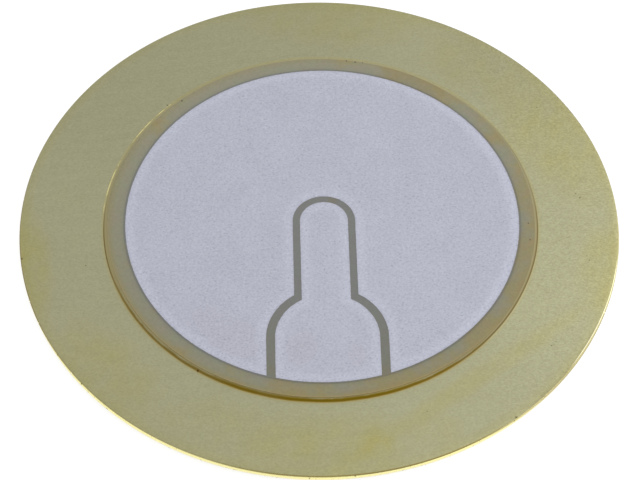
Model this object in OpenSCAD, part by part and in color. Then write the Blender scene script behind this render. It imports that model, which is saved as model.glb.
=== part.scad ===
// Three-terminal piezo bender disc, bare, without leads. All sizes in millimetres.
// A round brass plate, blanked from strip, carries a thin piezoceramic wafer in a film of
// adhesive. Fired silver covers the wafer's underside. Its upper face is printed with two
// silver lands: the main electrode, and a bottle-shaped feedback electrode whose neck reaches
// the middle of the disc. A bare gap runs round the bottle and opens at the print's rim.
// Origin: centre of the plate's underside. +Z is up through the layers, and the foot of the
// feedback electrode points towards -Y.

/* [Plate] */
// Diameter of the brass plate
plate_d = 35; // [31:0.5:41]
// Thickness of the brass plate
plate_t = 0.30; // [0.25:0.01:0.6]
// Radius of the upper edge, rolled over by the blanking die
roll_r = 0.05; // [0.02:0.01:0.08]
// Height of the smooth sheared land below the rolled edge
land_h = 0.14; // [0.05:0.01:0.16]
// How far the torn band below the land draws in towards the underside
torn_draw = 0.02; // [0.005:0.005:0.05]

/* [Wafer] */
// Diameter of the piezoceramic wafer
wafer_d = 25; // [22:0.5:28]
// Thickness of the piezoceramic wafer
wafer_t = 0.19; // [0.15:0.01:0.5]
// Radius worn on the wafer's upper edge
wafer_edge_r = 0.03; // [0.01:0.005:0.05]
// Sideways offset of the wafer from the plate's centre, left by bonding
wafer_shift = 0.10; // [-0.3:0.01:0.3]

/* [Adhesive] */
// Thickness of the adhesive between the plate and the lower silver
film_t = 0.02; // [0.01:0.005:0.05]
// Width of the bead squeezed out on to the plate, round the wafer
bead_w = 0.22; // [0.06:0.01:0.3]
// Distance by which the bead's upper edge stays below the wafer's worn edge
bead_drop = 0.03; // [0.01:0.005:0.04]
// How far the bead's face hollows below a straight line
bead_hollow = 0.02; // [0.005:0.005:0.02]

/* [Silver] */
// Thickness of the fired silver on both faces
silver_t = 0.01; // [0.005:0.001:0.02]
// Bare ceramic left round the print on the upper face
upper_margin = 1.0; // [0.5:0.1:2]
// Bare ceramic left round the silver on the underside
lower_margin = 0.3; // [0.1:0.05:1]
// Sideways offset of the upper print from the wafer's centre
print_shift = 0.07; // [-0.2:0.01:0.2]

/* [Feedback electrode] */
// Width of the neck
neck_w = 2.8; // [2:0.1:4]
// Bare gap beside and round the neck
neck_gap = 0.43; // [0.3:0.01:0.7]
// Distance from the print's centre to the centre of the neck's round end
neck_end = 0.2; // [0:0.1:3]
// Width of the body
body_w = 5.9; // [5:0.1:8]
// Bare gap beside and over the body
body_gap = 0.51; // [0.3:0.01:0.7]
// Distance from the print's rim up to the centre of the body's round shoulders
body_reach = 3.05; // [2:0.05:4]
// Sideways offset of the bottle from the print's centre
bottle_shift = 0.09; // [-0.2:0.01:0.2]

/* [Hidden] */
$fn = 180;

plate_r = plate_d / 2;
wafer_r = wafer_d / 2;
print_r = wafer_r - upper_margin;
lower_r = wafer_r - lower_margin;

// Heights of the faces between the layers
lower_z = plate_t + film_t;
wafer_z = lower_z + silver_t;
print_z = wafer_z + wafer_t;

// Height to which the bead climbs the wafer's side, above the plate
bead_h = print_z - wafer_edge_r - bead_drop - plate_t;

// Overlap of a cutting shape past the face it cuts, so that no skin is left
past = 1;

// Half section of a round blank with its upper edge rounded to radius r
module rounded_half_section(radius, thickness, r) {
    square([radius - r, thickness]);
    square([radius, thickness - r]);
    translate([radius - r, thickness - r]) circle(r);
}

// The plate's blanked edge from the top: rolled edge, sheared land, torn band drawing in
module plate_half_section() {
    torn_top = plate_t - roll_r - land_h;
    difference() {
        rounded_half_section(plate_r, plate_t, roll_r);
        polygon([[plate_r, torn_top], [plate_r - torn_draw, 0],
                 [plate_r - torn_draw, -past], [plate_r + past, -past], [plate_r + past, torn_top]]);
    }
}

module brass_plate() {
    color([0.70, 0.67, 0.46])
    rotate_extrude() plate_half_section();
}

// Stands what belongs to the wafer on the wafer's own centre line
module on_wafer(z) {
    translate([wafer_shift, 0, z]) children();
}

// Section of the bead: a hollow-faced fillet between the plate and the wafer's side
module bead_half_section() {
    slope = norm([bead_w, bead_h]);
    face_r = slope * slope / (8 * bead_hollow) + bead_hollow / 2;
    outward = [bead_h, bead_w] / slope;
    middle = [wafer_r + bead_w / 2, bead_h / 2];
    difference() {
        polygon([[wafer_r, 0], [wafer_r + bead_w, 0], [wafer_r, bead_h]]);
        translate(middle + outward * (face_r - bead_hollow)) circle(face_r);
    }
}

// The film fills the space under the lower silver and, round it, up to the bare ceramic
module bond_layer() {
    color([0.52, 0.42, 0.15])
    on_wafer(plate_t)
    rotate_extrude() {
        square([wafer_r, film_t]);
        translate([lower_r, 0]) square([lower_margin, film_t + silver_t]);
        bead_half_section();
    }
}

module lower_electrode() {
    color([0.74, 0.74, 0.78])
    on_wafer(lower_z) cylinder(r = lower_r, h = silver_t);
}

module ceramic_disc() {
    color([0.56, 0.54, 0.43])
    on_wafer(wafer_z)
    rotate_extrude() rounded_half_section(wafer_r, wafer_t, wafer_edge_r);
}

// A strip of width w, round at its upper end and running out past the print's rim.
// The round end is struck about a centre at height y on the print.
module round_topped_strip(w, y) {
    translate([0, y]) circle(d = w);
    translate([-w / 2, -print_r - past]) square([w, y + print_r + past]);
}

// The bottle: a round-ended neck on a body with round shoulders. The neck grows by
// neck_margin and the body by body_margin all round, about the same centres.
module bottle(neck_margin = 0, body_margin = 0) {
    translate([bottle_shift, 0]) {
        round_topped_strip(neck_w + 2 * neck_margin, -neck_end);
        round_topped_strip(body_w + 2 * body_margin, body_reach - print_r);
    }
}

module on_print() {
    on_wafer(print_z) translate([print_shift, 0, 0]) linear_extrude(silver_t) children();
}

module main_electrode() {
    color([0.76, 0.76, 0.81])
    on_print() difference() {
        circle(print_r);
        bottle(neck_gap, body_gap);
    }
}

module feedback_electrode() {
    color([0.78, 0.78, 0.83])
    on_print() intersection() {
        circle(print_r);
        bottle();
    }
}

brass_plate();
bond_layer();
lower_electrode();
ceramic_disc();
main_electrode();
feedback_electrode();
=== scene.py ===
import math

import bpy
from mathutils import Matrix, Vector


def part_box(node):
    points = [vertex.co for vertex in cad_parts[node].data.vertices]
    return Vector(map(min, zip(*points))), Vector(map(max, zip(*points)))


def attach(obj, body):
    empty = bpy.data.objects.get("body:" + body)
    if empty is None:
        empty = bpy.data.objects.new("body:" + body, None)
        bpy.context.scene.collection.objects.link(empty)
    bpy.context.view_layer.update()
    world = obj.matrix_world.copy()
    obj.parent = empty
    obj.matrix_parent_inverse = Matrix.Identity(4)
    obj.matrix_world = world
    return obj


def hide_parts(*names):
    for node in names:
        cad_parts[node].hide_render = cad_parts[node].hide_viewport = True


# Bare three-terminal piezo disc: a blanked brass plate, a piezoceramic wafer bonded to it in a
# film of adhesive, and fired silver under and over the wafer. The upper silver is printed as
# two lands, the main electrode and a bottle-shaped feedback electrode.

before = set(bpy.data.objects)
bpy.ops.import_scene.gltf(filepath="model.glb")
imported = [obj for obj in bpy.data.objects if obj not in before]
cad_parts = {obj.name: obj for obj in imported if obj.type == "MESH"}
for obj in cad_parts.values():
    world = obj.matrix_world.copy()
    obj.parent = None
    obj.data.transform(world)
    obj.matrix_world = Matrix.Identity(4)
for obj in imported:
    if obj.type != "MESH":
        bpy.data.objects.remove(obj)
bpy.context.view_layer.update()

MM = 0.001
TURN = 2 * math.pi

# Points closer together than this are merged, in metres
MERGE = 0.1e-6

# Sizes that the nodes' boxes don't give
ROLL_RADIUS = 0.05 * MM
LAND_HEIGHT = 0.14 * MM
TORN_DRAW = 0.02 * MM
WAFER_EDGE_RADIUS = 0.03 * MM
BEAD_HOLLOW = 0.02 * MM
NECK_WIDTH = 2.8 * MM
NECK_GAP = 0.43 * MM
BODY_WIDTH = 5.9 * MM
BODY_GAP = 0.51 * MM
NECK_CENTRE = -0.2 * MM
BODY_CENTRE = -8.45 * MM

# Small dark specks on the brass face and on the bare ceramic: place and radius, in millimetres
BRASS_SPECKS = [
    (-9.04, 9.11, 0.07),
    (12.83, -9.16, 0.05),
    (13.10, -8.90, 0.04),
    (5.6, -13.4, 0.04),
    (15.42, 1.39, 0.06),
    (15.21, 1.70, 0.05),
    (15.54, -3.23, 0.05),
    (15.42, -2.90, 0.04),
    (13.46, 8.44, 0.05),
    (-13.54, -2.98, 0.05),
    (10.48, -13.90, 0.11),
    (-17.26, -2.40, 0.09),
]
CERAMIC_SPECKS = [
    (1.87, 12.28, 0.07),
    (2.41, 12.18, 0.08),
    (2.86, 12.12, 0.06),
    (-8.25, 9.25, 0.08),
    (12.10, -0.62, 0.06),
    (12.10, -1.83, 0.06),
]
ADHESIVE_SPECKS = [
    (-7.02, -10.45, 0.09),
]

# Yellower patches on the brass: place, half length and half width in millimetres, the way the
# length runs in degrees from +X, and strength
YELLOW_PATCHES = [
    (8.30, -11.42, 12.0, 0.9, 36, 0.42),
    (2.80, -15.60, 1.8, 1.2, 100, 0.32),
    (0.00, -15.30, 6.2, 2.8, 0, 0.54),
    (6.25, -14.73, 1.9, 1.7, 0, 0.30),
    (16.17, -3.73, 4.4, 1.8, 77, 0.42),
    (13.98, 6.22, 7.4, 3.3, 114, 0.48),
    (9.36, 11.98, 4.2, 2.7, 142, 0.28),
    (1.38, 15.74, 8.0, 2.9, 175, 0.40),
    (-16.69, -2.64, 5.6, 1.5, 99, 0.60),
    (-11.85, -10.30, 5.8, 2.7, 131, 0.42),
    (-5.77, -14.28, 4.4, 2.9, 158, 0.25),
]

# Slightly duller clouds on the silver, given in the same way
SILVER_CLOUDS = [
    (-1.20, -9.20, 1.7, 1.2, 75, 0.55),
    (1.90, -9.60, 1.3, 0.8, 100, 0.35),
    (-5.20, -8.20, 3.4, 1.9, 140, 0.35),
]

# Steps round the turned pieces, and the spacing of the points along a printed outline
TURNED_STEPS = 720
PRINT_SPACING = 0.06 * MM

# Share of the radius at which a flat face has its last ring of points before the edge, and
# shares of the way up the torn band and the bead at which they have a ring
FLAT_SHARE = 0.98
TORN_RINGS = (0.25, 0.5, 0.75, 1.0)
BEAD_RINGS = (0.12, 0.3, 0.5, 0.7, 0.88)

# Slight changes to a limit, which leave out the points that lie on it, or take them in
JUST_WITHIN = 0.99
JUST_BEYOND = 1.01

# How far an uneven edge wanders, from end to end, and the size of the clouds that move it
TORN_WAVES = (0.01 * MM, 0.3 * MM)
BEAD_WAVES = (0.02 * MM, 0.9 * MM)
WAFER_WAVES = (0.012 * MM, 0.25 * MM)
PRINT_WAVES_ACROSS = (0.022 * MM, 0.22 * MM)
PRINT_WAVES_ALONG = (0.022 * MM, 0.26 * MM)
WAVE_DEPTH = 2


# ---------------------------------------- sizes from the CAD nodes

def middle_of(node):
    """The point on the X axis under the middle of a CAD node."""
    low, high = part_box(node)
    return Vector(((low.x + high.x) / 2, 0, 0))


def radius_of(node):
    """Half the width of a CAD node across X."""
    low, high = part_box(node)
    return (high.x - low.x) / 2


def bottle_offset():
    """How far the bottle stands to the side of the print's centre."""
    return middle_of("feedback_electrode").x - middle_of("main_electrode").x


# ---------------------------------------- modelling helpers

def clear_selection():
    """Deselects every object, so that an operator acts on the new piece alone."""
    bpy.ops.object.select_all(action="DESELECT")


def work_on(piece):
    """Makes one piece the only one selected."""
    clear_selection()
    piece.select_set(True)
    bpy.context.view_layer.objects.active = piece


def apply_place():
    """Moves the active piece's place into its mesh."""
    bpy.ops.object.transform_apply(location=True, rotation=True, scale=True)


def smooth_faces(piece, degrees):
    """Smooth shading, kept sharp over edges that turn by more than an angle."""
    work_on(piece)
    bpy.ops.object.shade_smooth_by_angle(angle=math.radians(degrees))


def arc(centre, radius, start, end, count):
    """Points along an arc in a half section; angles in degrees from the outward direction."""
    points = []
    for step in range(count + 1):
        angle = math.radians(start + (end - start) * step / count)
        points.append((centre[0] + radius * math.cos(angle), centre[1] + radius * math.sin(angle)))
    return points


def turn(name, section, middle, steps):
    """Draws a half section point by point and spins it into a closed round piece."""
    clear_selection()
    first = Vector((section[0][0], 0, section[0][1])) + middle
    bpy.ops.mesh.primitive_plane_add(size=MM, location=first)
    piece = bpy.context.object
    piece.name = name
    apply_place()
    bpy.ops.object.mode_set(mode="EDIT")
    bpy.ops.mesh.select_mode(type="VERT")
    bpy.ops.mesh.select_all(action="SELECT")
    bpy.ops.mesh.merge(type="CENTER")
    for here, there in zip(section, section[1:]):
        step = (there[0] - here[0], 0, there[1] - here[1])
        bpy.ops.mesh.extrude_vertices_move(TRANSFORM_OT_translate={"value": step})
    bpy.ops.mesh.select_all(action="SELECT")
    bpy.ops.mesh.spin(steps=steps, angle=TURN, center=middle, axis=(0, 0, 1))
    bpy.ops.mesh.select_all(action="SELECT")
    bpy.ops.mesh.remove_doubles(threshold=MERGE)
    bpy.ops.mesh.normals_make_consistent(inside=False)
    bpy.ops.object.mode_set(mode="OBJECT")
    return piece


def group_points(piece, name, test):
    """Puts the points that pass a test into a vertex group."""
    group = piece.vertex_groups.new(name=name)
    chosen = [point.index for point in piece.data.vertices if test(point.co)]
    group.add(chosen, 1.0, "REPLACE")


def roughen(piece, group, direction, waves):
    """Moves a group of points to and fro along one direction by a cloudy noise."""
    amount, grain = waves
    cloud = bpy.data.textures.new(piece.name + " cloud", "CLOUDS")
    cloud.noise_scale = grain
    cloud.noise_depth = WAVE_DEPTH
    work_on(piece)
    worn = piece.modifiers.new("worn", "DISPLACE")
    worn.texture = cloud
    worn.texture_coords = "LOCAL"
    worn.vertex_group = group
    worn.direction = direction
    worn.mid_level = 0.5
    worn.strength = amount
    bpy.ops.object.modifier_apply(modifier="worn")


def finish_piece(piece, material, node):
    """Dresses a piece, fixes it to the body and lets it stand for its CAD node."""
    piece.data.materials.clear()
    piece.data.materials.append(material)
    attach(piece, "root")
    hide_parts(node)


# ---------------------------------------- material helpers

# A soft noise seldom leaves this range
NOISE_LOW = 0.3
NOISE_HIGH = 0.7

# Places of the two colours among a mixing node's inputs, and of the mixed one among its outputs
MIX_FIRST = 6
MIX_SECOND = 7
MIX_RESULT = 2


def paint(red, green, blue):
    """A colour given as it looks, from 0 to 255, in the shader's own scale."""
    channels = []
    for level in (red, green, blue):
        share = level / 255
        channels.append(share / 12.92 if share <= 0.04045 else ((share + 0.055) / 1.055) ** 2.4)
    return (*channels, 1.0)


def grey(level):
    """A grey given as it looks, from 0 to 255."""
    return paint(level, level, level)


def start_material(name):
    """A new material with its node tree and its shader."""
    material = bpy.data.materials.new(name)
    material.use_nodes = True
    tree = material.node_tree
    return material, tree, tree.nodes["Principled BSDF"]


def feed(tree, socket, given):
    """Gives a socket a number, a colour or another node's output."""
    if isinstance(given, bpy.types.NodeSocket):
        tree.links.new(given, socket)
    else:
        socket.default_value = given


def in_mm(tree, centre=(0, 0, 0), stretch=(1, 1, 1), turned=0):
    """Object coordinates in millimetres from a centre, stretched and turned about Z."""
    coordinates = tree.nodes.new("ShaderNodeTexCoord")
    shift = tree.nodes.new("ShaderNodeMapping")
    shift.inputs["Location"].default_value = [-c / MM for c in centre]
    shift.inputs["Scale"].default_value = (1 / MM, 1 / MM, 1 / MM)
    tree.links.new(coordinates.outputs["Object"], shift.inputs["Vector"])
    shape = tree.nodes.new("ShaderNodeMapping")
    shape.inputs["Rotation"].default_value = (0, 0, math.radians(turned))
    tree.links.new(shift.outputs["Vector"], shape.inputs["Vector"])
    scaled = tree.nodes.new("ShaderNodeMapping")
    scaled.inputs["Scale"].default_value = stretch
    tree.links.new(shape.outputs["Vector"], scaled.inputs["Vector"])
    return scaled.outputs["Vector"]


def noise(tree, place, cells, detail=2.0, roughness=0.5):
    """A soft noise from 0 to 1, with a number of cells to the millimetre."""
    node = tree.nodes.new("ShaderNodeTexNoise")
    node.inputs["Scale"].default_value = cells
    node.inputs["Detail"].default_value = detail
    node.inputs["Roughness"].default_value = roughness
    tree.links.new(place, node.inputs["Vector"])
    return node.outputs["Fac"]


def maths(tree, operation, first, second=0.0):
    """One sum, with a number or another node's output on each side."""
    node = tree.nodes.new("ShaderNodeMath")
    node.operation = operation
    feed(tree, node.inputs[0], first)
    feed(tree, node.inputs[1], second)
    return node.outputs[0]


def plus(tree, first, second):
    """The sum of two values."""
    return maths(tree, "ADD", first, second)


def minus(tree, first, second):
    """One value less another."""
    return maths(tree, "SUBTRACT", first, second)


def times(tree, *values):
    """The product of several values."""
    total = values[0]
    for value in values[1:]:
        total = maths(tree, "MULTIPLY", total, value)
    return total


def between(tree, value, low, high):
    """0 at one end of a range and 1 at the other, smooth between them."""
    node = tree.nodes.new("ShaderNodeMapRange")
    node.interpolation_type = "SMOOTHSTEP"
    feed(tree, node.inputs["Value"], value)
    node.inputs["From Min"].default_value = low
    node.inputs["From Max"].default_value = high
    return node.outputs["Result"]


def less(tree, value, low, high):
    """1 at one end of a range and 0 at the other, smooth between them."""
    return minus(tree, 1.0, between(tree, value, low, high))


def spread(tree, value, low, high):
    """Stretches a noise so that it runs from a low to a high figure."""
    node = tree.nodes.new("ShaderNodeMapRange")
    feed(tree, node.inputs["Value"], value)
    node.inputs["From Min"].default_value = NOISE_LOW
    node.inputs["From Max"].default_value = NOISE_HIGH
    node.inputs["To Min"].default_value = low
    node.inputs["To Max"].default_value = high
    return node.outputs["Result"]


def ramp(tree, value, stops):
    """Colours set along a value from 0 to 1."""
    node = tree.nodes.new("ShaderNodeValToRGB")
    elements = node.color_ramp.elements
    while len(elements) < len(stops):
        elements.new(0.5)
    for element, (position, colour) in zip(elements, stops):
        element.position = position
        element.color = colour
    feed(tree, node.inputs["Fac"], value)
    return node.outputs["Color"]


def blend(tree, share, first, second, kind="MIX"):
    """Two colours mixed by a share."""
    node = tree.nodes.new("ShaderNodeMix")
    node.data_type = "RGBA"
    node.blend_type = kind
    feed(tree, node.inputs["Factor"], share)
    feed(tree, node.inputs[MIX_FIRST], first)
    feed(tree, node.inputs[MIX_SECOND], second)
    return node.outputs[MIX_RESULT]


def tinted(tree, colour, tint, share=1.0):
    """A colour darkened by a tint laid over it, wholly or by a share."""
    return blend(tree, share, colour, tint, "MULTIPLY")


def bump(tree, height, depth):
    """Small relief of a depth in metres."""
    node = tree.nodes.new("ShaderNodeBump")
    node.inputs["Strength"].default_value = 1.0
    node.inputs["Distance"].default_value = depth
    tree.links.new(height, node.inputs["Height"])
    return node.outputs["Normal"]


def parts_of(tree, place):
    """The three parts of a place: across, along and up."""
    node = tree.nodes.new("ShaderNodeSeparateXYZ")
    tree.links.new(place, node.inputs["Vector"])
    return node.outputs[0], node.outputs[1], node.outputs[2]


def reach(tree, across, along):
    """Distance from the centre line."""
    square = times(tree, across, across)
    other = times(tree, along, along)
    return maths(tree, "SQRT", plus(tree, square, other))


def facing(tree, across, along, degrees):
    """Cosine of the angle round the disc from a direction; angles from +X."""
    angle = math.radians(degrees)
    east = times(tree, across, math.cos(angle))
    north = times(tree, along, math.sin(angle))
    return maths(tree, "DIVIDE", plus(tree, east, north), reach(tree, across, along))


def toward(tree, across, along, side):
    """1 on one side of the disc and 0 away from it, fading between the side's two cosines."""
    degrees, begins, full = side
    return between(tree, facing(tree, across, along, degrees), begins, full)


def specks(tree, across, along, places):
    """1 on small round specks, each given by its place and radius in millimetres."""
    total = 0.0
    for east, north, radius in places:
        beside = minus(tree, across, east)
        behind = minus(tree, along, north)
        inside = less(tree, reach(tree, beside, behind), radius * 0.5, radius)
        total = maths(tree, "MAXIMUM", total, inside)
    return total


def soft_patches(tree, places):
    """Soft ovals added up, each given by its place, half length, half width, way and strength."""
    total = 0.0
    for east, north, length, width, way, strength in places:
        oval = in_mm(tree, (east * MM, north * MM, 0), (1 / length, 1 / width, 0), -way)
        across, along = parts_of(tree, oval)[:2]
        inside = less(tree, reach(tree, across, along), 0.25, 1.0)
        total = plus(tree, total, times(tree, inside, strength))
    return total


def dress(tree, shader, colour, roughness, relief, metallic=0.0):
    """Gives a shader its colour, roughness, relief and metallic share."""
    feed(tree, shader.inputs["Base Color"], colour)
    feed(tree, shader.inputs["Roughness"], roughness)
    feed(tree, shader.inputs["Normal"], relief)
    feed(tree, shader.inputs["Metallic"], metallic)


# ---------------------------------------- brass plate

# A side of the disc is given by the way out to it, in degrees from +X, and by the cosines of the
# angle off that way at which it begins and is full. A ring is given by the two radii, in
# millimetres, at which it begins and is full.

# The line where the adhesive ends on the brass: its centre and radius in millimetres, the side
# that has it, and the sides where it is wide and where it is thin
LINE_CENTRE = (0.08, 0.02)
LINE_RADIUS = 12.68
LINE_SIDE = (-90, -0.25, 0.10)
LINE_WIDE_SIDE = (228, 0.80, 0.97)
LINE_THIN_SIDE = (-48, 0.80, 0.95)

# The painted glint outside that line, and how far out it lies
GLINT_SIDE = (154, 0.91, 0.96)
GLINT_OUT = 0.090

# The face
LIT_SIDE = (-2, 0.60, 0.97)
BACK_LEFT_SIDE = (118, 0.55, 0.95)
SCORED_SIDE = (14, 0.86, 0.98)
YELLOW_RING = (16.6, 17.4)
PLAIN_BRASS = paint(178, 177, 145)
YELLOW_BRASS = paint(179, 173, 118)
STAINED_BRASS = paint(166, 154, 98)
COVERED_BRASS = paint(156, 146, 104)
DARK_LINE_BRASS = paint(108, 94, 48)
PAINTED_GLINT_BRASS = paint(226, 216, 152)
SCORED_BRASS = paint(128, 122, 86)
DIRTY_BRASS = paint(96, 92, 62)
STREAK_TINTS = [(0.30, paint(250, 250, 249)), (0.70, grey(255))]
GRAIN_TINTS = [(0.25, paint(214, 212, 204)), (0.75, grey(255))]

# The face just inside the rolled rim, with a painted shade line, painted shade and a painted glint
RIM_SIDE = (-103, 0.55, 0.80)
RIM_LEFT_SIDE = (-113, 0.80, 0.96)
RIM_DARK_SIDE = (-82, 0.86, 0.97)
RIM_SHADED_SIDE = (-38, 0.965, 0.99)
RIM_GLINT_SIDE = (-24, 0.966, 0.988)
RIM_GLINT_IN_SIDE = (-50, 0.80, 0.97)
RIM_SHADE_LINE_RING = (17.380, 17.410)
RIM_SHADED_RING = (17.20, 17.38)
RIM_GLINT_RADIUS = 17.445
RIM_SHADE_LINE_BRASS = paint(132, 114, 54)
RIM_SHADE = paint(236, 233, 228)
RIM_GLINT_BRASS = paint(255, 250, 214)

# The cut edge, by height from 0 on the underside to 1 on the face, partly the brass's own colour and
# partly
# # painted reflection and painted shade that differ in front and on the right, and the heights between
# # which the land ends and the rolled rim begins
EDGE_IN_FRONT = [
    (0.00, paint(252, 246, 214)),
    (0.34, paint(253, 246, 206)),
    (0.40, paint(254, 246, 178)),
    (0.80, paint(254, 246, 172)),
    (0.86, paint(150, 136, 84)),
    (0.94, paint(128, 114, 66)),
    (1.00, paint(146, 138, 96)),
]
EDGE_ON_RIGHT = [
    (0.00, paint(240, 234, 202)),
    (0.34, paint(230, 222, 180)),
    (0.48, paint(166, 153, 104)),
    (0.80, paint(156, 142, 92)),
    (0.86, paint(164, 154, 104)),
    (0.95, paint(176, 167, 116)),
    (1.00, paint(142, 133, 90)),
]
LAND_TOP = (0.80, 0.86)
ROLL_FOOT = (0.84, 0.92)
ROLL_TOP = (0.955, 0.985)
EDGE_RIGHT_SIDE = (-14, 0.72, 0.94)
EDGE_BACK_SIDE = (75, 0.2, 0.7)
ROLL_BACK_RIGHT_SIDE = (52, 0.80, 0.95)
ROLL_LEFT_SIDE = (186, 0.80, 0.95)
ROLL_FRONT_RIGHT_SIDE = (-50, 0.985, 0.997)
BACK_LAND_SHADE = paint(206, 197, 150)
BACK_RIGHT_ROLL_SHADE = paint(104, 94, 62)
LEFT_ROLL_SHADE = paint(124, 104, 68)
FRONT_ROLL_HIGHLIGHT = paint(252, 243, 172)
FRONT_RIGHT_ROLL_LIGHT = paint(180, 170, 122)
BRIGHT_FLECK = paint(246, 238, 206)
DARK_FLECK = paint(104, 92, 56)

# Heights on the plate in millimetres: its face, where the edge's colour gives way to the face's,
# and up to where the underside has the face's colour. Then the grain's relief, in metres.
PLATE_TOP = 0.30
FACE_BAND = (0.2965, 0.2995)
UNDERSIDE = 0.0005
GRAIN_RELIEF = 0.6e-6


def plate_section():
    """Half section of the plate: torn band, sheared land and rolled edge."""
    low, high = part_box("brass_plate")
    radius = radius_of("brass_plate")
    top = high.z
    torn_top = top - ROLL_RADIUS - LAND_HEIGHT
    section = [(0, low.z), (radius * FLAT_SHARE, low.z), (radius - TORN_DRAW, low.z)]
    for share in TORN_RINGS:
        section.append((radius - TORN_DRAW * (1 - share), torn_top * share))
    section.append((radius, torn_top + LAND_HEIGHT * 0.5))
    roll_centre = (radius - ROLL_RADIUS, top - ROLL_RADIUS)
    section += arc(roll_centre, ROLL_RADIUS, start=0, end=90, count=8)
    section += [(radius * FLAT_SHARE, top), (0, top)]
    return section


def yellow_share(tree, radius):
    """Where the brass is yellower: by the rim and in loose streaky patches."""
    streaky = in_mm(tree, stretch=(0.5, 0.9, 1), turned=-70)
    cloudy = noise(tree, streaky, cells=1.0, detail=4.0, roughness=0.6)
    by_rim = times(tree, between(tree, radius, *YELLOW_RING), 0.35)
    patches = times(tree, soft_patches(tree, YELLOW_PATCHES), spread(tree, cloudy, 0.62, 1.34))
    drift = spread(tree, cloudy, -0.06, 0.06)
    total = plus(tree, plus(tree, by_rim, patches), drift)
    return maths(tree, "MINIMUM", maths(tree, "MAXIMUM", total, 0.0), 1.0)


def adhesive_line(tree, across, along):
    """Distance out from the line where the adhesive ends, and how dark that line is."""
    east = minus(tree, across, LINE_CENTRE[0])
    north = minus(tree, along, LINE_CENTRE[1])
    wide = toward(tree, across, along, LINE_WIDE_SIDE)
    thin = toward(tree, across, along, LINE_THIN_SIDE)
    drawn_in = plus(tree, times(tree, wide, 0.020), times(tree, thin, 0.042))
    off_line = plus(tree, minus(tree, reach(tree, east, north), LINE_RADIUS), drawn_in)
    widened = plus(tree, 1.0, times(tree, wide, 0.5))
    width = minus(tree, widened, times(tree, thin, 0.10))
    off_middle = maths(tree, "DIVIDE", maths(tree, "ABSOLUTE", off_line), width)
    dark = less(tree, off_middle, 0.015, 0.055)
    strength = minus(tree, 1.0, times(tree, wide, 0.20))
    return off_line, times(tree, dark, toward(tree, across, along, LINE_SIDE), strength)


def glint_share(tree, across, along, off_line):
    """A thin broken painted glint just outside the adhesive, at the back left."""
    broken = between(tree, noise(tree, in_mm(tree), cells=1.6, detail=3.0, roughness=0.6), 0.38, 0.56)
    off_glint = maths(tree, "ABSOLUTE", minus(tree, off_line, GLINT_OUT))
    ring = less(tree, off_glint, 0.010, 0.032)
    return times(tree, toward(tree, across, along, GLINT_SIDE), broken, ring)


def rolled_face(tree, across, along, radius, grain):
    """The face before wear: grain and faint streaks over soft yellow patches, with painted light making
    it lighter on the right.
    """
    face = blend(tree, yellow_share(tree, radius), PLAIN_BRASS, YELLOW_BRASS)
    # Painted light: the face is tinted lighter towards the right
    lit = toward(tree, across, along, LIT_SIDE)
    face = tinted(tree, face, ramp(tree, lit, [(0.0, grey(243)), (1.0, grey(255))]))
    face = tinted(tree, face, grey(249), toward(tree, across, along, BACK_LEFT_SIDE))
    long_streaks = in_mm(tree, stretch=(0.35, 3.0, 1), turned=-6)
    streak = noise(tree, long_streaks, cells=1.0, detail=4.0, roughness=0.6)
    face = tinted(tree, face, ramp(tree, streak, STREAK_TINTS))
    rough = plus(tree, times(tree, between(tree, across, 5, 15), 0.38), 0.60)
    return tinted(tree, face, ramp(tree, grain, GRAIN_TINTS), rough)


def face_by_adhesive(tree, across, along, face):
    """The face where the adhesive ends: stained, with a dark line, and a painted glint at the back
    left.
    """
    off_line, dark = adhesive_line(tree, across, along)
    stained = times(tree, less(tree, off_line, 0.05, 0.25), 0.4)
    face = blend(tree, stained, face, STAINED_BRASS)
    face = blend(tree, less(tree, off_line, 0.0, 0.04), face, COVERED_BRASS)
    face = blend(tree, times(tree, dark, 0.85), face, DARK_LINE_BRASS)
    # Painted highlight: a thin glint just outside the adhesive
    return blend(tree, glint_share(tree, across, along, off_line), face, PAINTED_GLINT_BRASS)


def scored_share(tree, across, along):
    """Fine scored streaks at the back right."""
    fine = noise(tree, in_mm(tree, stretch=(0.9, 9.0, 1), turned=-1), cells=1.0, detail=2.0)
    return times(tree, between(tree, fine, 0.62, 0.74), toward(tree, across, along, SCORED_SIDE), 0.30)


def face_by_rim(tree, across, along, radius, face):
    """The face just inside the rolled rim: a painted shade line in front, painted shade at the lower
    right and a thin painted glint on the right.
    """
    # Painted shade: a dark line just inside the rim in front
    front = times(tree, toward(tree, across, along, RIM_SIDE), 0.25)
    darkest = times(tree, toward(tree, across, along, RIM_DARK_SIDE), 0.55)
    shade_line_share = times(tree, between(tree, radius, *RIM_SHADE_LINE_RING), plus(tree, front, darkest))
    face = blend(tree, shade_line_share, face, RIM_SHADE_LINE_BRASS)
    shaded = toward(tree, across, along, RIM_SHADED_SIDE)
    face = tinted(tree, face, RIM_SHADE, times(tree, between(tree, radius, *RIM_SHADED_RING), shaded))
    drawn_in = times(tree, toward(tree, across, along, RIM_GLINT_IN_SIDE), 0.035)
    off_glint = minus(tree, radius, minus(tree, RIM_GLINT_RADIUS, drawn_in))
    glint = less(tree, maths(tree, "ABSOLUTE", off_glint), 0.008, 0.034)
    glint = times(tree, glint, toward(tree, across, along, RIM_GLINT_SIDE), 0.65)
    return blend(tree, glint, face, RIM_GLINT_BRASS)


def brass_face(tree, across, along, radius, grain):
    """Colour of the upper face, from the adhesive out to the rolled rim."""
    face = rolled_face(tree, across, along, radius, grain)
    face = face_by_adhesive(tree, across, along, face)
    face = blend(tree, scored_share(tree, across, along), face, SCORED_BRASS)
    face = face_by_rim(tree, across, along, radius, face)
    dirt = times(tree, specks(tree, across, along, BRASS_SPECKS), 0.8)
    return blend(tree, dirt, face, DIRTY_BRASS)


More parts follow.
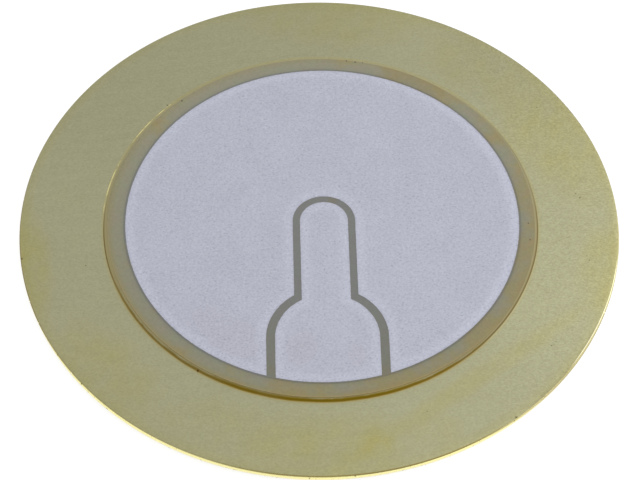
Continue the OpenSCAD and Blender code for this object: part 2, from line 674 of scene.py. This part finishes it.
def painted_roll_highlight(tree, across, along, height):
    """Painted highlight where the rolled rim shines like the land below it: in front, and higher up at
    the front left.
    """
    left = toward(tree, across, along, RIM_LEFT_SIDE)
    shining = maths(tree, "MAXIMUM", less(tree, height, *ROLL_TOP), left)
    return times(tree, toward(tree, across, along, RIM_SIDE), shining, between(tree, height, *LAND_TOP))


def brass_edge(tree, across, along, height):
    """Colour of the blanked edge from the underside up: torn band, land and rolled rim, with painted
    reflection and painted shade that change round the disc.
    """
    in_front = ramp(tree, height, EDGE_IN_FRONT)
    on_right = ramp(tree, height, EDGE_ON_RIGHT)
    colour = blend(tree, toward(tree, across, along, EDGE_RIGHT_SIDE), in_front, on_right)
    # Painted shade: the land is darker at the back
    back = times(tree, toward(tree, across, along, EDGE_BACK_SIDE), less(tree, height, *LAND_TOP))
    colour = blend(tree, back, colour, BACK_LAND_SHADE)
    roll = between(tree, height, *ROLL_FOOT)
    # Painted shade: the rolled rim is dark at the back right and on the left
    back_right = times(tree, toward(tree, across, along, ROLL_BACK_RIGHT_SIDE), roll)
    colour = blend(tree, back_right, colour, BACK_RIGHT_ROLL_SHADE)
    left = times(tree, toward(tree, across, along, ROLL_LEFT_SIDE), roll, 0.8)
    colour = blend(tree, left, colour, LEFT_ROLL_SHADE)
    # Painted highlight on the rolled rim in front
    colour = blend(tree, painted_roll_highlight(tree, across, along, height), colour, FRONT_ROLL_HIGHLIGHT)
    # Painted light on the rolled rim at the front right
    front_right = times(tree, toward(tree, across, along, ROLL_FRONT_RIGHT_SIDE), roll)
    colour = blend(tree, front_right, colour, FRONT_RIGHT_ROLL_LIGHT)
    fleck = noise(tree, in_mm(tree), cells=5.0, detail=2.0, roughness=0.6)
    colour = blend(tree, between(tree, fleck, 0.67, 0.72), colour, BRIGHT_FLECK)
    return blend(tree, between(tree, fleck, 0.34, 0.29), colour, DARK_FLECK)


def brass_finish():
    """Rolled half-hard brass, dulled and mottled, bright on its cut edge."""
    material, tree, shader = start_material("rolled brass")
    across, along, up = parts_of(tree, in_mm(tree))
    radius = reach(tree, across, along)
    grain = noise(tree, in_mm(tree, stretch=(0.8, 1.2, 1)), cells=9.0, detail=2.0, roughness=0.7)
    face = brass_face(tree, across, along, radius, grain)
    edge = brass_edge(tree, across, along, maths(tree, "DIVIDE", up, PLATE_TOP))
    on_face = between(tree, up, *FACE_BAND)
    flat = maths(tree, "MAXIMUM", on_face, maths(tree, "LESS_THAN", up, UNDERSIDE))
    colour = blend(tree, flat, edge, face)
    smoother = times(tree, minus(tree, 1.0, flat), 0.12)
    roughness = minus(tree, spread(tree, grain, 0.34, 0.42), smoother)
    dress(tree, shader, colour, roughness, bump(tree, grain, GRAIN_RELIEF), metallic=1.0)
    return material


def make_plate():
    """The round brass plate, blanked from strip."""
    plate = turn("brass_disc", plate_section(), Vector(), TURNED_STEPS)
    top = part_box("brass_plate")[1].z
    torn_top = (top - ROLL_RADIUS - LAND_HEIGHT) * JUST_WITHIN
    torn_radius = radius_of("brass_plate") - TORN_DRAW * JUST_BEYOND

    def in_torn_band(point):
        return 0 < point.z < torn_top and point.xy.length > torn_radius

    group_points(plate, "torn", in_torn_band)
    roughen(plate, "torn", "NORMAL", TORN_WAVES)
    smooth_faces(plate, degrees=40)
    finish_piece(plate, brass_finish(), "brass_plate")


# ---------------------------------------- adhesive

# Share of the bead's hollow that goes inwards, and as much downwards
HOLLOW_EACH_WAY = 0.75

# Points further out than this from the wafer's side belong to the bead's face
BEAD_MARGIN = 0.004 * MM

# Colours up the bead, from 0 at its foot to 1 at its top
PALE_BEAD = [
    (0.00, paint(152, 145, 106)),
    (0.30, paint(148, 142, 106)),
    (1.00, paint(152, 147, 116)),
]
TAN_BEAD = [
    (0.00, paint(160, 148, 102)),
    (0.35, paint(158, 147, 102)),
    (1.00, paint(172, 162, 122)),
]
# The amber in front, darkened by painted shade
AMBER_AND_SHADE_BEAD = [
    (0.00, paint(168, 154, 98)),
    (0.14, paint(132, 109, 34)),
    (0.28, paint(110, 89, 2)),
    (0.55, paint(122, 101, 10)),
    (0.80, paint(144, 126, 56)),
    (1.00, paint(160, 144, 88)),
]
TAN_SIDE = (-90, -0.5, 0.2)
SHADED_RIGHT_SIDE = (-10, 0.45, 0.80)
RIGHT_SHADE_TINT = paint(230, 229, 228)
BRASSY_FOOT = paint(178, 170, 126)
DARK_LINE_AMBER = paint(104, 88, 40)
SPECK_AMBER = paint(92, 62, 10)

# The middle of the amber in front, the middle of all the amber, and where it climbs on the left
AMBER_FRONT = -84
AMBER_MIDDLE = 255
AMBER_LEFT_SIDE = (234, 0.80, 0.97)
ADHESIVE_RELIEF = 2e-6


def bead_section():
    """Half section of the film under the wafer and the hollow-faced bead round it."""
    low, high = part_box("bond_layer")
    wafer = radius_of("ceramic_disc")
    silver = radius_of("lower_electrode")
    foot = (high.x - low.x) / 2
    film_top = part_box("lower_electrode")[0].z
    silver_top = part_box("lower_electrode")[1].z
    section = [(0, low.z), (wafer, low.z), (foot, low.z)]
    for share in BEAD_RINGS:
        hollow = 4 * share * (1 - share) * BEAD_HOLLOW * HOLLOW_EACH_WAY
        out = foot + (wafer - foot) * share - hollow
        section.append((out, low.z + (high.z - low.z) * share - hollow))
    section += [(wafer, high.z), (wafer, silver_top), (silver, silver_top)]
    section += [(silver, film_top), (0, film_top)]
    return section


def adhesive_height(tree, up):
    """Height up the bead, 0 at its foot and 1 at its top."""
    low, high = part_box("bond_layer")
    return maths(tree, "DIVIDE", minus(tree, up, low.z / MM), (high.z - low.z) / MM)


def amber_and_shade_share(tree, place, height, across, along):
    """Dark amber fills the bead in front and at the front left, with an uneven upper edge: the
    adhesive's own amber, darkened by painted shade where the bead faces the front.
    """
    uneven = minus(tree, noise(tree, place, cells=0.7, detail=3.0), 0.5)
    fine = minus(tree, noise(tree, place, cells=1.6, detail=4.0, roughness=0.6), 0.5)
    before = plus(tree, facing(tree, across, along, AMBER_FRONT), times(tree, uneven, 0.5))
    front = between(tree, before, 0.60, 1.0)
    left = toward(tree, across, along, AMBER_LEFT_SIDE)
    raised = plus(tree, times(tree, front, 0.75), times(tree, left, 0.38))
    level = plus(tree, minus(tree, height, raised), times(tree, fine, 0.9))
    strength = plus(tree, times(tree, front, 0.35), 0.65)
    around = plus(tree, facing(tree, across, along, AMBER_MIDDLE), times(tree, uneven, 0.2))
    return times(tree, less(tree, level, -0.12, 0.40), strength, between(tree, around, 0.42, 0.66))


def adhesive_colour(tree, place, across, along, up):
    """Tan or pale up the bead's face, over a brassy foot, with the dark line and the amber."""
    height = adhesive_height(tree, up)
    off_line, dark = adhesive_line(tree, across, along)
    pale = ramp(tree, height, PALE_BEAD)
    colour = blend(tree, toward(tree, across, along, TAN_SIDE), pale, ramp(tree, height, TAN_BEAD))
    # Painted shade: the bead is darkened on the right
    colour = tinted(tree, colour, RIGHT_SHADE_TINT, toward(tree, across, along, SHADED_RIGHT_SIDE))
    beyond = times(tree, between(tree, off_line, 0.02, 0.07), 0.85)
    colour = blend(tree, beyond, colour, BRASSY_FOOT)
    colour = blend(tree, times(tree, dark, 0.85), colour, DARK_LINE_AMBER)
    # The amber, partly the adhesive's own colour and partly painted shade
    amber = amber_and_shade_share(tree, place, height, across, along)
    colour = blend(tree, amber, colour, ramp(tree, height, AMBER_AND_SHADE_BEAD))
    return blend(tree, specks(tree, across, along, ADHESIVE_SPECKS), colour, SPECK_AMBER)


def adhesive_finish():
    """Cured adhesive: dark amber in front, partly its own amber and partly painted shade, tan like the
    ceramic elsewhere.
    """
    material, tree, shader = start_material("amber adhesive")
    place = in_mm(tree, middle_of("bond_layer"))
    across, along, up = parts_of(tree, in_mm(tree))
    colour = adhesive_colour(tree, place, across, along, up)
    ripple = noise(tree, place, cells=5.0, detail=2.0)
    dress(tree, shader, colour, 0.3, bump(tree, ripple, ADHESIVE_RELIEF))
    shader.inputs["Specular IOR Level"].default_value = 0.15
    return material


def make_adhesive():
    """The film under the wafer and the bead squeezed out round it."""
    middle = middle_of("bond_layer")
    bead = turn("adhesive_bead", bead_section(), middle, TURNED_STEPS)
    inner = radius_of("ceramic_disc") + BEAD_MARGIN
    group_points(bead, "outside", lambda point: (point - middle).xy.length > inner)
    roughen(bead, "outside", "NORMAL", BEAD_WAVES)
    smooth_faces(bead, degrees=50)
    finish_piece(bead, adhesive_finish(), "bond_layer")


# ---------------------------------------- wafer

# The ceramic, its warm patches, most of them to one side, and the stain at the back
CERAMIC = paint(139, 138, 122)
WARM_CERAMIC = paint(145, 136, 101)
STAINED_CERAMIC = paint(134, 122, 84)
BLOTCH_TINTS = [(0.33, paint(253, 246, 240)), (0.67, paint(246, 251, 238))]
WARM_WAY = -40
WARM_RING = (10.0, 11.8)
STAIN_WAY = 61

# Where the bare gap round the bottle is a little yellower: from where forward, and in which ring
YELLOW_GAP_ALONG = (-9.0, -5.5)
YELLOW_GAP_RING = (11.2, 11.5)
YELLOW_GAP_TINT = paint(255, 254, 241)

# Tints by distance out from the print's rim, over the millimetres from the first to the last, with a
# painted shadow along the print's edge
BY_PRINT_RANGE = (-0.5, 1.0)
PRINT_TINTS_AND_SHADOW = [
    (0.00, paint(217, 222, 252)),
    (0.28, paint(217, 222, 252)),
    # Painted shadow of the print's edge
    (0.33, paint(206, 211, 230)),
    (0.36, paint(216, 219, 230)),
    (0.41, paint(244, 245, 248)),
    (0.60, paint(252, 252, 250)),
    (0.85, paint(255, 253, 246)),
    (1.00, paint(255, 249, 226)),
]
SPECKLE_TINTS = [(0.3, paint(238, 238, 236)), (0.7, grey(255))]

# The wafer's edge in front: a browned ring, and a corner lightened as painted light
WAFER_FRONT_SIDE = (-110, 0.0, 0.6)
BROWNED_RING = (12.2, 12.45)
PAINTED_LIGHT_RING = (12.425, 12.475)
BROWNED_CERAMIC = paint(140, 124, 74)
PAINTED_LIGHT_CERAMIC = paint(186, 160, 92)
DIRTY_CERAMIC = paint(70, 66, 50)
CERAMIC_RELIEF = 1.5e-6


def wafer_section():
    """Half section of the wafer, worn round on its upper edge."""
    low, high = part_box("ceramic_disc")
    radius = radius_of("ceramic_disc")
    worn = (radius - WAFER_EDGE_RADIUS, high.z - WAFER_EDGE_RADIUS)
    section = [(0, low.z), (radius, low.z), (radius, (low.z + high.z) / 2)]
    section += arc(worn, WAFER_EDGE_RADIUS, start=0, end=90, count=6)
    section += [(radius * FLAT_SHARE, high.z), (0, high.z)]
    return section


def strip_distance(tree, across, along, width, centre):
    """Distance outside a round-topped strip, in millimetres; negative inside it."""
    above = maths(tree, "MAXIMUM", minus(tree, along, centre / MM), 0.0)
    return minus(tree, reach(tree, across, above), width / MM / 2)


def bottle_distance(tree, across, along, neck_margin, body_margin):
    """Distance outside the bottle's outline, widened by a margin at the neck and the body."""
    across = minus(tree, across, bottle_offset() / MM)
    neck = strip_distance(tree, across, along, NECK_WIDTH + 2 * neck_margin, NECK_CENTRE)
    body = strip_distance(tree, across, along, BODY_WIDTH + 2 * body_margin, BODY_CENTRE)
    return maths(tree, "MINIMUM", neck, body)


def ceramic_ground(tree, place, across, along, blotch):
    """Olive grey with loose warm patches outside the print, mostly on the right."""
    cloudy = noise(tree, place, cells=0.45, detail=3.0, roughness=0.6)
    side = times(tree, facing(tree, across, along, WARM_WAY), 0.12)
    warm = between(tree, plus(tree, cloudy, side), 0.42, 0.68)
    warm = times(tree, warm, between(tree, reach(tree, across, along), *WARM_RING))
    colour = blend(tree, warm, CERAMIC, WARM_CERAMIC)
    return tinted(tree, colour, ramp(tree, blotch, BLOTCH_TINTS))


def ceramic_colour(tree, place, across, along):
    """The ground, lighter towards the back, yellower in the bare gap, with a brown stain behind."""
    blotch = noise(tree, place, cells=1.6, detail=3.0, roughness=0.6)
    colour = ceramic_ground(tree, place, across, along, blotch)
    wafer = radius_of("ceramic_disc") / MM
    back = between(tree, along, -wafer, wafer)
    colour = tinted(tree, colour, ramp(tree, back, [(0.0, grey(243)), (1.0, grey(255))]))
    inner = less(tree, reach(tree, across, along), *YELLOW_GAP_RING)
    in_gap = times(tree, less(tree, along, *YELLOW_GAP_ALONG), inner)
    colour = tinted(tree, colour, YELLOW_GAP_TINT, in_gap)
    wander = times(tree, minus(tree, blotch, 0.5), 0.06)
    stain = plus(tree, facing(tree, across, along, STAIN_WAY), wander)
    return blend(tree, times(tree, between(tree, stain, 0.978, 0.992), 0.45), colour, STAINED_CERAMIC)


def tint_and_shadow_by_print(tree, across, along):
    """Tint round the printed silver: bluish inside its rim, a thin painted shadow line along its edge,
    then warmer outwards.
    """
    print_shift = (middle_of("main_electrode").x - middle_of("ceramic_disc").x) / MM
    from_print = reach(tree, minus(tree, across, print_shift), along)
    from_print = minus(tree, from_print, radius_of("main_electrode") / MM)
    return ramp(tree, between(tree, from_print, *BY_PRINT_RANGE), PRINT_TINTS_AND_SHADOW)


def browned_edge_with_painted_light(tree, across, along, colour):
    """The wafer's edge in front: browned, and lighter on the corner as painted light."""
    radius = reach(tree, across, along)
    front = toward(tree, across, along, WAFER_FRONT_SIDE)
    browned = times(tree, between(tree, radius, *BROWNED_RING), front, 0.3)
    colour = blend(tree, browned, colour, BROWNED_CERAMIC)
    # Painted light on the corner of the edge, which faces the dim front
    worn = times(tree, between(tree, radius, *PAINTED_LIGHT_RING), front, 0.22)
    return blend(tree, worn, colour, PAINTED_LIGHT_CERAMIC)


def ceramic_finish():
    """Fired piezoceramic, dull, with a thin painted shadow line round the silver and painted light on
    its edge.
    """
    material, tree, shader = start_material("fired ceramic")
    place = in_mm(tree, middle_of("ceramic_disc"))
    across, along = parts_of(tree, place)[:2]
    colour = ceramic_colour(tree, place, across, along)
    colour = tinted(tree, colour, tint_and_shadow_by_print(tree, across, along))
    speckle = noise(tree, place, cells=7.0, detail=3.0, roughness=0.6)
    colour = tinted(tree, colour, ramp(tree, speckle, SPECKLE_TINTS))
    colour = browned_edge_with_painted_light(tree, across, along, colour)
    dirt = times(tree, specks(tree, across, along, CERAMIC_SPECKS), 0.9)
    colour = blend(tree, dirt, colour, DIRTY_CERAMIC)
    dress(tree, shader, colour, spread(tree, speckle, 0.5, 0.62), bump(tree, speckle, CERAMIC_RELIEF))
    return material


def make_wafer():
    """The piezoceramic wafer."""
    middle = middle_of("ceramic_disc")
    wafer = turn("piezo_wafer", wafer_section(), middle, TURNED_STEPS)
    low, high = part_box("ceramic_disc")
    half_height = (low.z + high.z) / 2
    edge_radius = radius_of("ceramic_disc") * JUST_WITHIN

    def on_upper_edge(point):
        return point.z > half_height and (point - middle).xy.length > edge_radius

    group_points(wafer, "edge", on_upper_edge)
    roughen(wafer, "edge", "NORMAL", WAFER_WAVES)
    smooth_faces(wafer, degrees=50)
    finish_piece(wafer, ceramic_finish(), "ceramic_disc")


# ---------------------------------------- silver

# The upper silver: its ground, its duller clouds, the lighter band that comes and goes over
# these millimetres inside the outline, and the pitted mottle
SILVER_GROUND = [(0.35, paint(192, 193, 204)), (0.65, paint(194, 196, 207))]
DULL_SILVER = paint(188, 187, 195)
LIGHT_SILVER = paint(202, 204, 216)
BAND_COMES = (0.02, 0.16)
BAND_GOES = (0.30, 0.75)
MOTTLE_TINTS = [
    (0.20, paint(188, 189, 197)),
    (0.40, paint(226, 226, 230)),
    (0.60, paint(241, 241, 243)),
    (0.78, grey(255)),
]
LOWER_SILVER = [(0.3, paint(176, 177, 190)), (0.7, paint(188, 189, 203))]
SILVER_RELIEF = 3e-6


def silver_colour(tree, place, inside, mottle):
    """Fired silver's colour: a fine pitted mottle, lighter in a band near the outline."""
    ground = ramp(tree, noise(tree, place, cells=0.5, detail=2.0), SILVER_GROUND)
    across = parts_of(tree, place)[0]
    strength = plus(tree, times(tree, between(tree, across, 3, 11), 0.28), 0.57)
    band = times(tree, between(tree, inside, *BAND_COMES), less(tree, inside, *BAND_GOES), strength)
    ground = blend(tree, band, ground, LIGHT_SILVER)
    uneven = spread(tree, noise(tree, place, cells=3.0), 0.6, 1.3)
    cloud = times(tree, soft_patches(tree, SILVER_CLOUDS), uneven)
    ground = blend(tree, cloud, ground, DULL_SILVER)
    return tinted(tree, ground, ramp(tree, mottle, MOTTLE_TINTS))


def distance_inside(tree, across, along, main):
    """Distance inside a land's outline, in millimetres. The main land lies outside the bottle."""
    to_rim = minus(tree, radius_of("main_electrode") / MM, reach(tree, across, along))
    if main:
        from_bottle = bottle_distance(tree, across, along, NECK_GAP, BODY_GAP)
    else:
        from_bottle = times(tree, bottle_distance(tree, across, along, 0, 0), -1.0)
    return maths(tree, "MINIMUM", to_rim, from_bottle)


def silver_finish(name, main):
    """Screen-printed silver, fired on."""
    material, tree, shader = start_material(name)
    middle = middle_of("main_electrode")
    place = in_mm(tree, middle)
    across, along = parts_of(tree, place)[:2]
    inside = distance_inside(tree, across, along, main)
    pitted = in_mm(tree, middle, stretch=(1.0, 1.2, 1))
    mottle = noise(tree, pitted, cells=8.0, detail=2.0, roughness=0.7)
    colour = silver_colour(tree, place, inside, mottle)
    relief = bump(tree, mottle, SILVER_RELIEF)
    dress(tree, shader, colour, spread(tree, mottle, 0.60, 0.72), relief, metallic=0.5)
    return material


def line(start, end):
    """Points along a straight run, its end left out."""
    run = Vector(end) - Vector(start)
    count = max(1, round(run.length / PRINT_SPACING))
    return [Vector(start) + run * step / count for step in range(count)]


def bow(centre, radius, start, end):
    """Points along an arc on the print, its end left out; angles from +X."""
    count = max(1, round(abs(end - start) * radius / PRINT_SPACING))
    angles = [start + (end - start) * step / count for step in range(count)]
    return [Vector((radius * math.cos(a), centre + radius * math.sin(a))) for a in angles]


def bottle_side(neck, body, rim, side):
    """Half of the bottle's outline, upwards from the rim; side is 1 on the right, -1 on the left."""
    offset = bottle_offset()
    shoulder = math.acos(neck / body)
    neck_foot = BODY_CENTRE + body * math.sin(shoulder)
    foot = -math.sqrt(rim * rim - (offset + side * body) ** 2)
    run = line((body, foot), (body, BODY_CENTRE))
    run += bow(BODY_CENTRE, body, 0, shoulder)
    run += line((neck, neck_foot), (neck, NECK_CENTRE))
    run += bow(NECK_CENTRE, neck, 0, math.pi / 2)
    return [Vector((offset + side * point.x, point.y)) for point in run]


def bottle_path(neck, body, rim):
    """The whole bottle, from the rim on its right, over the top, to the rim on its left."""
    top = Vector((bottle_offset(), NECK_CENTRE + neck))
    left = bottle_side(neck, body, rim, -1)
    return bottle_side(neck, body, rim, 1) + [top] + list(reversed(left))


def main_outline(rim):
    """Round the print's rim the long way, and back along the outer side of the gap."""
    neck = NECK_WIDTH / 2 + NECK_GAP
    body = BODY_WIDTH / 2 + BODY_GAP
    start = math.asin((bottle_offset() + body) / rim) - math.pi / 2
    end = math.pi * 1.5 + math.asin((bottle_offset() - body) / rim)
    around = bow(0, rim, start, end)
    return around + list(reversed(bottle_path(neck, body, rim)))[:-1]


def feedback_outline(rim):
    """Up one side of the bottle, down the other, and back along the print's rim."""
    body = BODY_WIDTH / 2
    start = math.asin((bottle_offset() - body) / rim) - math.pi / 2
    end = math.asin((bottle_offset() + body) / rim) - math.pi / 2
    return bottle_path(NECK_WIDTH / 2, body, rim)[:-1] + bow(0, rim, start, end)


def make_electrode(name, node, outline, main):
    """One land of the upper print: its outline is laid out, filled and given its thickness."""
    middle = middle_of("main_electrode")
    low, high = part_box(node)
    clear_selection()
    bpy.ops.mesh.primitive_circle_add(vertices=len(outline), radius=MM, fill_type="NGON")
    land = bpy.context.object
    land.name = name
    for point, place in zip(land.data.vertices, outline):
        point.co = (middle.x + place.x, middle.y + place.y, low.z)
    group_points(land, "outline", lambda point: True)
    roughen(land, "outline", "X", PRINT_WAVES_ACROSS)
    roughen(land, "outline", "Y", PRINT_WAVES_ALONG)
    bpy.ops.object.mode_set(mode="EDIT")
    bpy.ops.mesh.select_all(action="SELECT")
    rise = (0, 0, high.z - low.z)
    bpy.ops.mesh.extrude_region_move(TRANSFORM_OT_translate={"value": rise})
    bpy.ops.mesh.select_all(action="SELECT")
    bpy.ops.mesh.normals_make_consistent(inside=False)
    bpy.ops.object.mode_set(mode="OBJECT")
    smooth_faces(land, degrees=30)
    finish_piece(land, silver_finish(name + " silver", main), node)


def dress_lower_silver():
    """The silver under the wafer keeps its CAD shape."""
    material, tree, shader = start_material("lower silver")
    mottle = noise(tree, in_mm(tree), cells=5.0, detail=4.0, roughness=0.65)
    colour = ramp(tree, mottle, LOWER_SILVER)
    relief = bump(tree, mottle, SILVER_RELIEF)
    dress(tree, shader, colour, spread(tree, mottle, 0.52, 0.66), relief, metallic=0.7)
    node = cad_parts["lower_electrode"]
    node.data.materials.clear()
    node.data.materials.append(material)


# ---------------------------------------- floor, light and camera

# The floor lies just below the plate. Its own grey and what it gives out add up to white.
FLOOR_SIZE = 4.0
FLOOR_DROP = 0.004 * MM
FLOOR_GREY = 0.32
FLOOR_GLOW = 0.74

# The dome's plain level, what is added on the right, and the share taken off round the way to
# the camera, which goes this far along and this far up
DOME_LEVEL = 0.90
DOME_RIGHT = 0.44
DOME_DIM = 0.75
DIM_ALONG = -0.606
DIM_UP = 0.795

LAMP_PLACE = (0.35, 0.20, 0.45)
LAMP_SIZE = 0.4
LAMP_POWER = 1.2

# The camera's angles in degrees, its distance from a target on the plate's face, and its lens
CAMERA_ELEVATION = 52.68
CAMERA_SWING = -1.66
CAMERA_ROLL = 0.32
CAMERA_DISTANCE = 130.87 * MM
CAMERA_TARGET = (0.045 * MM, -1.42 * MM, 0)
CAMERA_LENS = 126.56
CAMERA_SENSOR = 36


def make_floor():
    """A pale floor that is white to the eye and in gloss, and keeps the shadow."""
    clear_selection()
    bpy.ops.mesh.primitive_plane_add(size=FLOOR_SIZE, location=(0, 0, -FLOOR_DROP))
    floor = bpy.context.object
    floor.name = "floor"
    material, tree, shader = start_material("pale floor")
    shader.inputs["Base Color"].default_value = (FLOOR_GREY, FLOOR_GREY, FLOOR_GREY, 1)
    shader.inputs["Roughness"].default_value = 0.25
    rays = tree.nodes.new("ShaderNodeLightPath")
    seen = maths(tree, "MAXIMUM", rays.outputs["Is Camera Ray"], rays.outputs["Is Glossy Ray"])
    seen = maths(tree, "MAXIMUM", seen, rays.outputs["Is Transmission Ray"])
    shader.inputs["Emission Color"].default_value = (1, 1, 1, 1)
    feed(tree, shader.inputs["Emission Strength"], times(tree, seen, FLOOR_GLOW))
    floor.data.materials.append(material)


def light_world():
    """A pale dome, white to the eye, brighter to the right and dim high up in front."""
    world = bpy.data.worlds.new("studio")
    bpy.context.scene.world = world
    world.use_nodes = True
    tree = world.node_tree
    direction = tree.nodes.new("ShaderNodeTexCoord").outputs["Generated"]
    across, along, up = parts_of(tree, direction)
    right = times(tree, between(tree, across, 0.05, 0.95), DOME_RIGHT)
    level = plus(tree, DOME_LEVEL, right)
    to_camera = plus(tree, times(tree, along, DIM_ALONG), times(tree, up, DIM_UP))
    dim = times(tree, between(tree, to_camera, 0.80, 0.96), DOME_DIM)
    level = times(tree, level, minus(tree, 1.0, dim))
    seen = tree.nodes.new("ShaderNodeLightPath").outputs["Is Camera Ray"]
    level = maths(tree, "MAXIMUM", level, seen)
    colour = tree.nodes.new("ShaderNodeCombineColor")
    for socket in colour.inputs[:3]:
        tree.links.new(level, socket)
    tree.links.new(colour.outputs[0], tree.nodes["Background"].inputs["Color"])


def add_lamp(name, place, size, power):
    """A soft square lamp that faces the middle of the disc."""
    data = bpy.data.lights.new(name, "AREA")
    data.shape = "SQUARE"
    data.size = size
    data.energy = power
    lamp = bpy.data.objects.new(name, data)
    bpy.context.scene.collection.objects.link(lamp)
    lamp.location = place
    lamp.rotation_euler = Vector(place).to_track_quat("Z", "Y").to_euler()


def camera_pose():
    """The camera's place and turn: it looks down steeply from the front, a little swung and rolled."""
    elevation = math.radians(CAMERA_ELEVATION)
    roll = math.radians(CAMERA_ROLL)
    back = Vector((0, -math.cos(elevation), math.sin(elevation)))
    right = Vector((1, 0, 0))
    up = Vector((0, math.sin(elevation), math.cos(elevation)))
    rolled_right = right * math.cos(roll) + up * math.sin(roll)
    rolled_up = up * math.cos(roll) - right * math.sin(roll)
    pose = Matrix((rolled_right, rolled_up, back)).transposed().to_4x4()
    pose.translation = Vector(CAMERA_TARGET) + back * CAMERA_DISTANCE
    pose = Matrix.Rotation(math.radians(CAMERA_SWING), 4, "Z") @ pose
    pose.translation.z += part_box("brass_plate")[1].z
    return pose


def add_camera():
    """A long lens on the middle of the disc."""
    data = bpy.data.cameras.new("camera")
    data.sensor_width = CAMERA_SENSOR
    data.lens = CAMERA_LENS
    data.clip_start = 1 * MM
    camera = bpy.data.objects.new("camera", data)
    bpy.context.scene.collection.objects.link(camera)
    camera.matrix_world = camera_pose()
    bpy.context.scene.camera = camera


def set_view():
    """Plain colour handling."""
    bpy.context.scene.view_settings.view_transform = "Standard"


# ---------------------------------------- the whole scene

make_plate()
make_adhesive()
dress_lower_silver()
make_wafer()
print_rim = radius_of("main_electrode")
make_electrode("main_land", "main_electrode", main_outline(print_rim), True)
make_electrode("feedback_land", "feedback_electrode", feedback_outline(print_rim), False)
make_floor()
light_world()
add_lamp("softbox", LAMP_PLACE, LAMP_SIZE, LAMP_POWER)
add_camera()
set_view()
